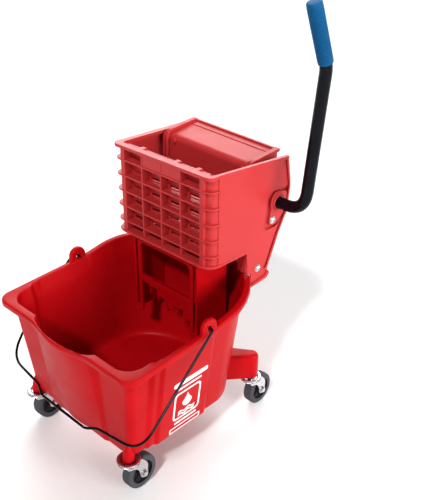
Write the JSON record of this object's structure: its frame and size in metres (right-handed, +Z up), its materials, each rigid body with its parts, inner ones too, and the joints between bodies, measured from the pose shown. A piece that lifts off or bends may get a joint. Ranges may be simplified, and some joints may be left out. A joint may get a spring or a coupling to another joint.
{
  "type": "mop bucket with wringer",
  "caption": "Wheeled mop bucket with a wire bail, swivel casters and a removable side-press wringer worked by a long cranked lever.",
  "frame": {"origin": "on the floor, under the middle of the whole object's box", "axes": "+Z up, -Y towards the pouring lip, +Y towards the wringer, +X on the lever's side"},
  "size_m": [0.4542, 0.5436, 0.9156],
  "materials": {
    "red_plastic": "satin moulded",
    "blue_grip": "textured",
    "black_plastic": "satin",
    "black_enamel": "gloss",
    "zinc": "bright zinc plate",
    "white_print": "screen print",
    "grey_rubber": "matte"
  },
  "bodies": {
    "bucket": {"bucket_tub": "red_plastic", "caster_front_left_stem": "zinc", "caster_front_right_stem": "zinc", "caster_rear_left_stem": "zinc", "caster_rear_right_stem": "zinc"},
    "bail": {"bail_wire": "black_enamel"},
    "wringer": {"wringer_basket": "red_plastic", "wringer_housing": "red_plastic", "wringer_saddle": "red_plastic", "bearing_plate_left": "red_plastic", "bearing_plate_right": "red_plastic", "shaft_bush_left": "red_plastic", "shaft_bush_right": "red_plastic", "bearing_screw_left": "zinc", "bearing_screw_right": "zinc", "leg_screw_left": "zinc", "leg_screw_right": "zinc"},
    "press": {"press_plate": "red_plastic", "press_rack_left": "red_plastic", "press_rack_right": "red_plastic"},
    "lever": {"lever_tube": "black_enamel", "lever_grip": "blue_grip", "pinion_left": "black_plastic", "pinion_right": "black_plastic", "shaft_retainer": "black_plastic"},
    "swivel_front_left": {"caster_front_left_fork": "zinc", "caster_front_left_axle": "zinc"},
    "wheel_front_left": {"caster_front_left_tyre": "grey_rubber", "caster_front_left_hub": "black_plastic"},
    "swivel_front_right": {"caster_front_right_fork": "zinc", "caster_front_right_axle": "zinc"},
    "wheel_front_right": {"caster_front_right_tyre": "grey_rubber", "caster_front_right_hub": "black_plastic"},
    "swivel_rear_left": {"caster_rear_left_fork": "zinc", "caster_rear_left_axle": "zinc"},
    "wheel_rear_left": {"caster_rear_left_tyre": "grey_rubber", "caster_rear_left_hub": "black_plastic"},
    "swivel_rear_right": {"caster_rear_right_fork": "zinc", "caster_rear_right_axle": "zinc"},
    "wheel_rear_right": {"caster_rear_right_tyre": "grey_rubber", "caster_rear_right_hub": "black_plastic"}
  },
  "joints": [
    {"name": "bail_hinge", "type": "hinge", "parent": "bucket", "child": "bail", "pos_m": [-0.00721, -0.05223, 0.338], "axis": [1, 0, 0], "range_deg": [-138, 5]},
    {"name": "wringer_lift", "type": "slide", "parent": "bucket", "child": "wringer", "axis": [0, 0, 1], "range_m": [0, 0.25]},
    {"name": "lever_hinge", "type": "hinge", "parent": "wringer", "child": "lever", "pos_m": [-0.00721, 0.21177, 0.498], "axis": [-1, 0, 0], "range_deg": [0, 88]},
    {"name": "press_slide", "type": "slide", "parent": "wringer", "child": "press", "axis": [0, -1, 0], "range_m": [0, 0.0538]},
    {"name": "swivel_front_left", "type": "hinge", "parent": "bucket", "child": "swivel_front_left", "pos_m": [-0.16021, -0.22223, 0.082], "axis": [0, 0, 1], "continuous": true},
    {"name": "wheel_front_left", "type": "hinge", "parent": "swivel_front_left", "child": "wheel_front_left", "pos_m": [-0.16111, -0.19624, 0.0375], "axis": [0.9994, 0.0349, 0], "continuous": true},
    {"name": "swivel_front_right", "type": "hinge", "parent": "bucket", "child": "swivel_front_right", "pos_m": [0.14579, -0.22223, 0.082], "axis": [0, 0, 1], "continuous": true},
    {"name": "wheel_front_right", "type": "hinge", "parent": "swivel_front_right", "child": "wheel_front_right", "pos_m": [0.14489, -0.19624, 0.0375], "axis": [0.9994, 0.0349, 0], "continuous": true},
    {"name": "swivel_rear_left", "type": "hinge", "parent": "bucket", "child": "swivel_rear_left", "pos_m": [-0.16121, 0.14277, 0.082], "axis": [0, 0, 1], "continuous": true},
    {"name": "wheel_rear_left", "type": "hinge", "parent": "swivel_rear_left", "child": "wheel_rear_left", "pos_m": [-0.16211, 0.16876, 0.0375], "axis": [0.9994, 0.0349, 0], "continuous": true},
    {"name": "swivel_rear_right", "type": "hinge", "parent": "bucket", "child": "swivel_rear_right", "pos_m": [0.14679, 0.14277, 0.082], "axis": [0, 0, 1], "continuous": true},
    {"name": "wheel_rear_right", "type": "hinge", "parent": "swivel_rear_right", "child": "wheel_rear_right", "pos_m": [0.14589, 0.16876, 0.0375], "axis": [0.9994, 0.0349, 0], "continuous": true}
  ],
  "couplings": [
    {"joint": "press_slide", "follows": "lever_hinge", "m_per_rad": 0.035}
  ]
}
